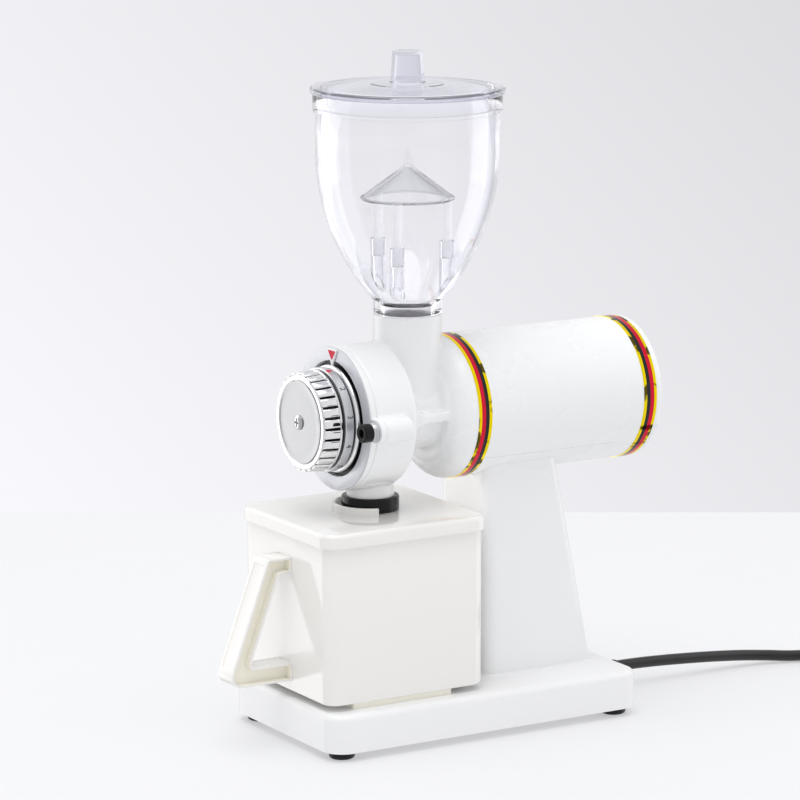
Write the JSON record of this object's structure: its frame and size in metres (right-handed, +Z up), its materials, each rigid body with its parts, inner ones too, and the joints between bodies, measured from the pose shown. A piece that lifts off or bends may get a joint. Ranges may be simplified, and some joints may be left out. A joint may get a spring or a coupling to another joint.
{
  "type": "electric coffee grinder",
  "caption": "Upright electric burr coffee grinder with a clear bean hopper, a turning grind dial, a horizontal motor on a column and a pull-out grounds bin.",
  "frame": {"origin": "on the table, under the middle of the grinder without its mains lead", "axes": "+Z up, -Y towards the dial and the bin's handle, +X to the right of someone facing the dial"},
  "size_m": [0.1692, 0.4589, 0.365],
  "materials": {
    "white_enamel": "gloss white stove enamel",
    "white_moulding": "gloss white moulding",
    "ivory_plastic": "gloss ivory moulding",
    "clear_plastic": "clear moulding",
    "chrome": "bright plating",
    "dial_white": "satin with black numbers",
    "face_grey": "satin grey",
    "pointer_red": "gloss red with a white frame",
    "stripe_foil": "gold foil with red and black stripes",
    "black_steel": "black oxide",
    "plain_steel": "zinc plated",
    "burr_steel": "ground tool steel",
    "core_iron": "varnished laminations",
    "copper": "varnished copper wire",
    "black_rubber": "satin black",
    "black_plastic": "satin black",
    "capacitor_case": "plain can",
    "terminal_ivory": "moulded"
  },
  "bodies": {
    "frame": {"base_shell": "white_moulding", "bottom_plate": "plain_steel", "rubber_feet": "black_rubber", "foot_screws": "plain_steel", "stand_column": "white_enamel", "column_screws": "plain_steel", "motor_housing": "white_enamel", "saddle_screws": "plain_steel", "grinder_body": "white_enamel", "rear_cap": "white_enamel", "front_band": "stripe_foil", "rear_band": "stripe_foil", "front_cover": "white_enamel", "face_plate": "face_grey", "cover_screws": "black_steel", "cover_washers": "plain_steel", "index_pointer": "pointer_red", "spout_ring": "black_rubber", "stator_core": "core_iron", "stator_windings": "copper", "front_bearing": "plain_steel", "rear_bearing": "plain_steel", "fixed_burr": "burr_steel", "fixed_burr_screws": "plain_steel", "switch_frame": "black_plastic", "run_capacitor": "capacitor_case", "terminal_block": "terminal_ivory", "strain_relief": "black_rubber", "cord_run": "black_rubber", "cord_coil": "black_rubber", "cord_tie": "black_plastic", "plug_body": "black_rubber", "plug_pins": "plain_steel"},
    "rotor": {"motor_shaft": "plain_steel", "rotor_core": "core_iron", "cooling_fan": "black_plastic", "feed_auger": "plain_steel", "drive_pin": "plain_steel", "burr_spring": "plain_steel"},
    "turning_burr": {"rotating_burr": "burr_steel", "rotating_burr_screws": "plain_steel", "burr_holder": "plain_steel", "thrust_ball": "plain_steel"},
    "dial": {"number_ring": "dial_white", "dial_knob": "chrome", "knob_face": "chrome", "knob_screw": "chrome"},
    "spindle": {"adjusting_spindle": "plain_steel"},
    "hopper": {"hopper": "clear_plastic", "hopper_collar": "clear_plastic", "bean_guard": "clear_plastic"},
    "lid": {"hopper_lid": "clear_plastic"},
    "bin": {"grounds_bin": "ivory_plastic", "bin_handle": "ivory_plastic", "bin_lid": "ivory_plastic"},
    "rocker": {"switch_rocker": "black_plastic"}
  },
  "joints": [
    {"name": "motor_spin", "type": "hinge", "parent": "frame", "child": "rotor", "pos_m": [0, -0.01376, 0.17213], "axis": [0, 1, 0], "continuous": true},
    {"name": "burr_advance", "type": "slide", "parent": "rotor", "child": "turning_burr", "axis": [0, -1, 0], "range_m": [0, 0.00085], "deforming": ["burr_spring"]},
    {"name": "dial_turn", "type": "hinge", "parent": "frame", "child": "dial", "pos_m": [0, -0.06376, 0.17213], "axis": [0, -1, 0], "range_deg": [0, 243]},
    {"name": "spindle_advance", "type": "slide", "parent": "dial", "child": "spindle", "axis": [0, -1, 0], "range_m": [0, 0.00085]},
    {"name": "hopper_lift", "type": "slide", "parent": "frame", "child": "hopper", "axis": [0, 0, 1], "range_m": [0, 0.06]},
    {"name": "lid_lift", "type": "slide", "parent": "hopper", "child": "lid", "axis": [0, 0, 1], "range_m": [0, 0.05]},
    {"name": "bin_slide", "type": "slide", "parent": "frame", "child": "bin", "axis": [0, -1, 0], "range_m": [0, 0.13]},
    {"name": "switch_rock", "type": "hinge", "parent": "frame", "child": "rocker", "pos_m": [-0.0254, 0.04824, 0.10903], "axis": [0, 1, 0], "range_deg": [0, 14]}
  ],
  "couplings": [
    {"joint": "burr_advance", "follows": "dial_turn", "m_per_rad": 0.00019894},
    {"joint": "spindle_advance", "follows": "dial_turn", "m_per_rad": 0.00019894}
  ]
}
